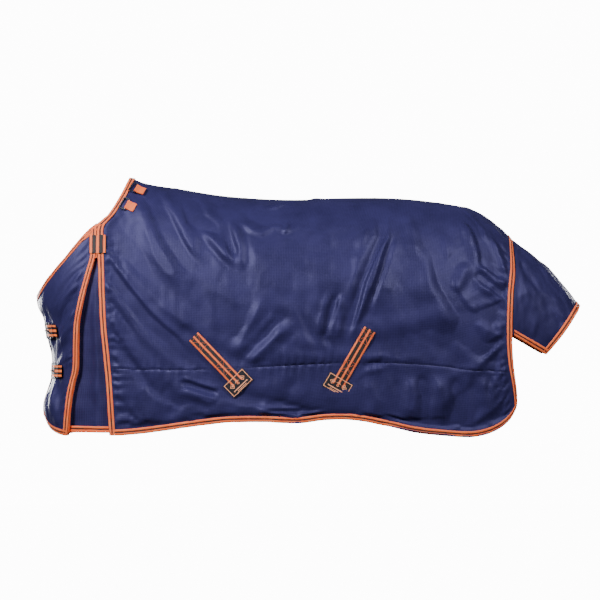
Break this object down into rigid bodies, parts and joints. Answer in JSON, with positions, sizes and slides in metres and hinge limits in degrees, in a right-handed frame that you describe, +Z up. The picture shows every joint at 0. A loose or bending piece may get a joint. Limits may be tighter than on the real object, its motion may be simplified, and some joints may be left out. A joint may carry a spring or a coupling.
{
  "type": "turnout rug",
  "caption": "Padded horse turnout rug with bound edges, shoulder slits over gussets, front straps with buckles, crossed belly straps and a lifting tail flap.",
  "frame": {"origin": "on the centreline, at the neck edge over the withers, on the lining's underside", "axes": "+X from the neck to the tail, +Y to the horse's off (right) side, +Z up"},
  "size_m": [2.0703, 0.6272, 0.9807],
  "materials": {
    "ripstop_shell": "navy coated ripstop polyester, satin",
    "polyester_filling": "white polyester wadding",
    "nylon_lining": "dark navy woven nylon",
    "edge_binding": "orange ribbed binding tape with a dark centre line",
    "striped_webbing": "orange and charcoal striped polyester webbing",
    "belly_webbing": "navy polyester webbing",
    "sewn_patch": "black woven patch with a pale orange border",
    "nickel_steel": "nickel-plated steel"
  },
  "bodies": {
    "rug_body": {"belly_strap_front": "belly_webbing", "belly_strap_rear": "belly_webbing", "filling_back_left": "polyester_filling", "filling_back_right": "polyester_filling", "filling_skirt_left": "polyester_filling", "filling_skirt_right": "polyester_filling", "gusset_hem_bindings": "edge_binding", "gusset_left": "ripstop_shell", "gusset_right": "ripstop_shell", "hem_binding_left": "edge_binding", "hem_binding_right": "edge_binding", "leg_ring_tabs": "striped_webbing", "lining_body_left": "nylon_lining", "lining_body_right": "nylon_lining", "neck_binding_back": "edge_binding", "neck_ring_tabs": "striped_webbing", "outer_back_panel": "ripstop_shell", "outer_skirt_left": "ripstop_shell", "outer_skirt_right": "ripstop_shell", "rear_binding": "edge_binding", "slit_binding_rear_left": "edge_binding", "slit_binding_rear_right": "edge_binding", "surcingle_hooks": "nickel_steel", "surcingle_inner_tabs": "belly_webbing", "surcingle_patches_left": "sewn_patch", "surcingle_patches_right": "sewn_patch", "surcingle_slot_plates": "nickel_steel", "surcingle_webs_left": "striped_webbing", "surcingle_webs_right": "striped_webbing"},
    "front_panel_left": {"outer_front_left": "ripstop_shell", "filling_front_left": "polyester_filling", "lining_front_left": "nylon_lining", "front_bindings_left": "edge_binding", "slit_binding_front_left": "edge_binding", "shoulder_tab_left": "striped_webbing", "chest_straps": "striped_webbing", "chest_buckle_tabs": "striped_webbing", "chest_buckle_frames": "nickel_steel", "chest_keepers": "striped_webbing"},
    "front_panel_right": {"outer_front_right": "ripstop_shell", "filling_front_right": "polyester_filling", "lining_front_right": "nylon_lining", "front_bindings_right": "edge_binding", "slit_binding_front_right": "edge_binding", "shoulder_tab_right": "striped_webbing", "chest_strap_patches": "belly_webbing"},
    "tail_flap": {"tail_flap_shell": "ripstop_shell", "tail_flap_lining": "nylon_lining", "tail_flap_bindings": "edge_binding"},
    "belly_slider_front": {"belly_slider_front": "nickel_steel"},
    "belly_slider_rear": {"belly_slider_rear": "nickel_steel"},
    "chest_tongue_lower": {"chest_tongue_lower": "nickel_steel"},
    "chest_tongue_upper": {"chest_tongue_upper": "nickel_steel"},
    "leg_ring_left": {"leg_ring_left": "nickel_steel"},
    "leg_ring_right": {"leg_ring_right": "nickel_steel"},
    "neck_ring_left_lower": {"neck_ring_left_lower": "nickel_steel"},
    "neck_ring_left_upper": {"neck_ring_left_upper": "nickel_steel"},
    "neck_ring_right_lower": {"neck_ring_right_lower": "nickel_steel"},
    "neck_ring_right_upper": {"neck_ring_right_upper": "nickel_steel"}
  },
  "joints": [
    {"name": "front_panel_left_swing", "type": "hinge", "parent": "rug_body", "child": "front_panel_left", "pos_m": [-0.082, -0.224, -0.5], "axis": [0, 0, 1], "range_deg": [0, 70]},
    {"name": "front_panel_right_swing", "type": "hinge", "parent": "rug_body", "child": "front_panel_right", "pos_m": [-0.082, 0.224, -0.5], "axis": [0, 0, -1], "range_deg": [0, 70]},
    {"name": "tail_flap_lift", "type": "hinge", "parent": "rug_body", "child": "tail_flap", "pos_m": [1.4585, 0, -0.2288], "axis": [0, -1, 0], "range_deg": [0, 40]},
    {"name": "belly_slider_front_slide", "type": "slide", "parent": "rug_body", "child": "belly_slider_front", "axis": [0.5678, 0.8179, -0.0933], "range_m": [-0.02, 0.02]},
    {"name": "belly_slider_rear_slide", "type": "slide", "parent": "rug_body", "child": "belly_slider_rear", "axis": [-0.5706, 0.8191, -0.06], "range_m": [-0.02, 0.02]},
    {"name": "chest_tongue_lower_swing", "type": "hinge", "parent": "front_panel_left", "child": "chest_tongue_lower", "pos_m": [-0.27548, -0.09786, -0.72086], "axis": [0.0264, 0.0136, 0.9996], "range_deg": [0, 65]},
    {"name": "chest_tongue_upper_swing", "type": "hinge", "parent": "front_panel_left", "child": "chest_tongue_upper", "pos_m": [-0.29669, -0.09818, -0.56944], "axis": [-0.1284, -0.0678, 0.9894], "range_deg": [0, 65]},
    {"name": "leg_ring_left_swing", "type": "hinge", "parent": "rug_body", "child": "leg_ring_left", "pos_m": [1.31009, -0.24332, -0.8671], "axis": [0.9703, 0.2419, 0], "range_deg": [0, 145]},
    {"name": "leg_ring_right_swing", "type": "hinge", "parent": "rug_body", "child": "leg_ring_right", "pos_m": [1.31009, 0.24332, -0.8671], "axis": [-0.9703, 0.2419, 0], "range_deg": [0, 145]},
    {"name": "neck_ring_left_lower_swing", "type": "hinge", "parent": "rug_body", "child": "neck_ring_left_lower", "pos_m": [-0.00513, -0.1375, -0.09231], "axis": [0.4402, 0.4158, 0.7958], "range_deg": [0, 145]},
    {"name": "neck_ring_left_upper_swing", "type": "hinge", "parent": "rug_body", "child": "neck_ring_left_upper", "pos_m": [0.02812, -0.09006, -0.02984], "axis": [0.3451, 0.7012, 0.6239], "range_deg": [0, 145]},
    {"name": "neck_ring_right_lower_swing", "type": "hinge", "parent": "rug_body", "child": "neck_ring_right_lower", "pos_m": [-0.00513, 0.1375, -0.09231], "axis": [-0.4402, 0.4158, -0.7958], "range_deg": [0, 145]},
    {"name": "neck_ring_right_upper_swing", "type": "hinge", "parent": "rug_body", "child": "neck_ring_right_upper", "pos_m": [0.02812, 0.09006, -0.02984], "axis": [-0.3451, 0.7012, -0.6239], "range_deg": [0, 145]}
  ]
}
